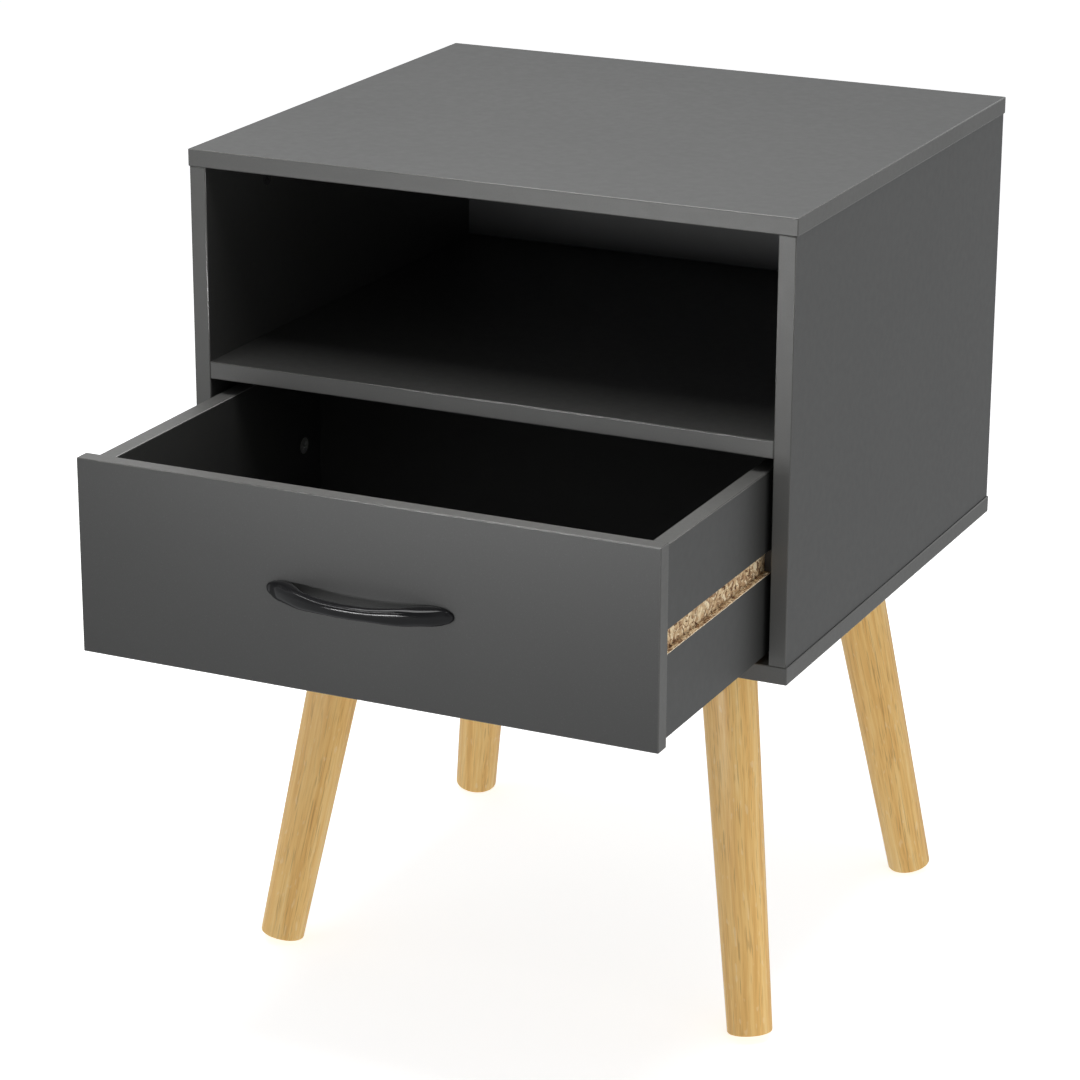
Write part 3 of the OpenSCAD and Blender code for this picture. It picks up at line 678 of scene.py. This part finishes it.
def cove():
    """A round white studio cove: a floor that curves up into a wall all round.

    Only the camera sees it, and it takes the shadows; the world lights the object from all sides."""
    bend = [math.radians(90 * i / COVE_BEND_STEPS) for i in range(COVE_BEND_STEPS + 1)]
    floor_r = COVE_RADIUS - COVE_BEND
    profile = [(0.0, 0.0)]
    profile += [(floor_r + COVE_BEND * math.sin(a), COVE_BEND - COVE_BEND * math.cos(a)) for a in bend]
    profile.append((COVE_RADIUS, COVE_HEIGHT))
    mesh = bmesh.new()
    verts = [mesh.verts.new((r, 0.0, z)) for r, z in profile]
    edges = [mesh.edges.new(pair) for pair in zip(verts, verts[1:])]
    bmesh.ops.spin(mesh, geom=verts + edges, axis=(0, 0, 1), cent=(0, 0, 0), steps=COVE_SEGMENTS,
                   angle=2 * math.pi, use_merge=True)
    bmesh.ops.remove_doubles(mesh, verts=mesh.verts, dist=1e-5)
    for face in mesh.faces:
        face.smooth = True
    g = Graph("studio_white")
    colour = g.mix(g.noise(2.0), (0.92, 0.92, 0.92), (0.94, 0.94, 0.94))
    white = g.finish(Base_Color=colour, Roughness=0.95, Specular_IOR_Level=0.0,
                     Emission_Color=(1.0, 1.0, 1.0, 1.0), Emission_Strength=COVE_GLOW)
    data = bpy.data.meshes.new("studio_cove")
    mesh.to_mesh(data)
    mesh.free()
    data.materials.append(white)
    made = bpy.data.objects.new("studio_cove", data)
    bpy.context.scene.collection.objects.link(made)
    made.visible_diffuse = False
    made.visible_glossy = False
    made.visible_shadow = False


def softbox(name, at, aim, width, height, power, gloss_only=False, diffuse_only=False):
    """A rectangular light: gloss_only shows only as a sheen, diffuse_only never shows as one."""
    data = bpy.data.lights.new(name, "AREA")
    data.shape = "RECTANGLE"
    data.size, data.size_y = width, height
    data.energy = power
    light = bpy.data.objects.new(name, data)
    light.location = at
    light.rotation_euler = (Vector(at) - Vector(aim)).to_track_quat("Z", "Y").to_euler()
    light.visible_camera = False
    light.visible_diffuse = not gloss_only
    light.visible_glossy = not diffuse_only
    bpy.context.scene.collection.objects.link(light)


def world():
    """Above the horizon, soft light from both sides and from behind; below it, even light as from a floor.

    Little comes from the front, so hollows are dark."""
    made = bpy.data.worlds.new("studio")
    bpy.context.scene.world = made
    made.use_nodes = True
    nodes, links = made.node_tree.nodes, made.node_tree.links

    def step(operation, a, b):
        node = nodes.new("ShaderNodeMath")
        node.operation = operation
        for index, value in enumerate((a, b)):
            if isinstance(value, bpy.types.NodeSocket):
                links.new(value, node.inputs[index])
            else:
                node.inputs[index].default_value = value
        return node.outputs[0]

    split = nodes.new("ShaderNodeSeparateXYZ")
    links.new(nodes.new("ShaderNodeTexCoord").outputs["Generated"], split.inputs[0])
    sideways = step("MULTIPLY", step("ABSOLUTE", split.outputs["X"], 0.0), WORLD_FROM_SIDES)
    behind = step("MULTIPLY", step("MAXIMUM", split.outputs["Y"], 0.0), WORLD_FROM_BEHIND)
    above = step("ADD", step("ADD", sideways, behind), WORLD_BASE)
    below = nodes.new("ShaderNodeMapRange")
    links.new(split.outputs["Z"], below.inputs[0])
    for index, value in enumerate((FLOOR_BEGINS, FLOOR_FULL, 0.0, 1.0), start=1):
        below.inputs[index].default_value = value
    from_floor = step("MULTIPLY", below.outputs[0], WORLD_FROM_FLOOR)
    from_above = step("MULTIPLY", above, step("SUBTRACT", 1.0, below.outputs[0]))
    level = step("ADD", from_floor, from_above)
    nodes["Background"].inputs["Color"].default_value = WORLD_COLOUR
    links.new(level, nodes["Background"].inputs["Strength"])


def studio():
    world()
    cove()
    drawer_low, drawer_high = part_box("drawer_front")
    # Soft light from above
    above = Vector((0.0, cad_low.y + 0.2, cad_high.z + 0.91))
    softbox("overhead", above, above - Vector((0, 0, 1)), width=1.0, height=1.0, power=19)
    # Card in front, just below the height of the drawer front's top edge
    card = Vector((-0.1, drawer_low.y - 0.65, drawer_high.z - 0.01))
    ahead = card + Vector((0.25, 0.95, 0))
    softbox("front_card", card, ahead, width=0.6, height=0.06, power=4.8, gloss_only=True)
    # Long, high strip aimed at the drawer
    strip = Vector((-0.35, drawer_low.y - 0.6, drawer_high.z + 0.7))
    softbox("edge_strip", strip, drawer_high, width=1.6, height=0.06, power=5, gloss_only=True)
    # Low lights at both sides, for the legs
    for side, power in zip(SIDES, (2.2, 2.6)):
        low_light = (0.95 * side, cad_low.y - 0.25, 0.12)
        aim = (0.1 * side, 0.0, 0.12)
        softbox(f"low_{side}", low_light, aim, width=0.8, height=0.2, power=power, diffuse_only=True)
    bpy.context.scene.view_settings.view_transform = "Standard"


def camera():
    a, e = VIEW_AZIMUTH, VIEW_ELEVATION
    backward = Vector((math.sin(a) * math.cos(e), -math.cos(a) * math.cos(e), math.sin(e)))
    data = bpy.data.cameras.new("camera")
    data.sensor_width = SENSOR_MM
    data.lens = LENS_MM
    made = bpy.data.objects.new("camera", data)
    turn = backward.to_track_quat("Z", "Y").to_matrix() @ Matrix.Rotation(VIEW_ROLL, 3, "Z")
    made.matrix_world = Matrix.Translation(VIEW_AIM + VIEW_DISTANCE * backward) @ turn.to_4x4()
    bpy.context.scene.collection.objects.link(made)
    bpy.context.scene.camera = made


studio()
camera()
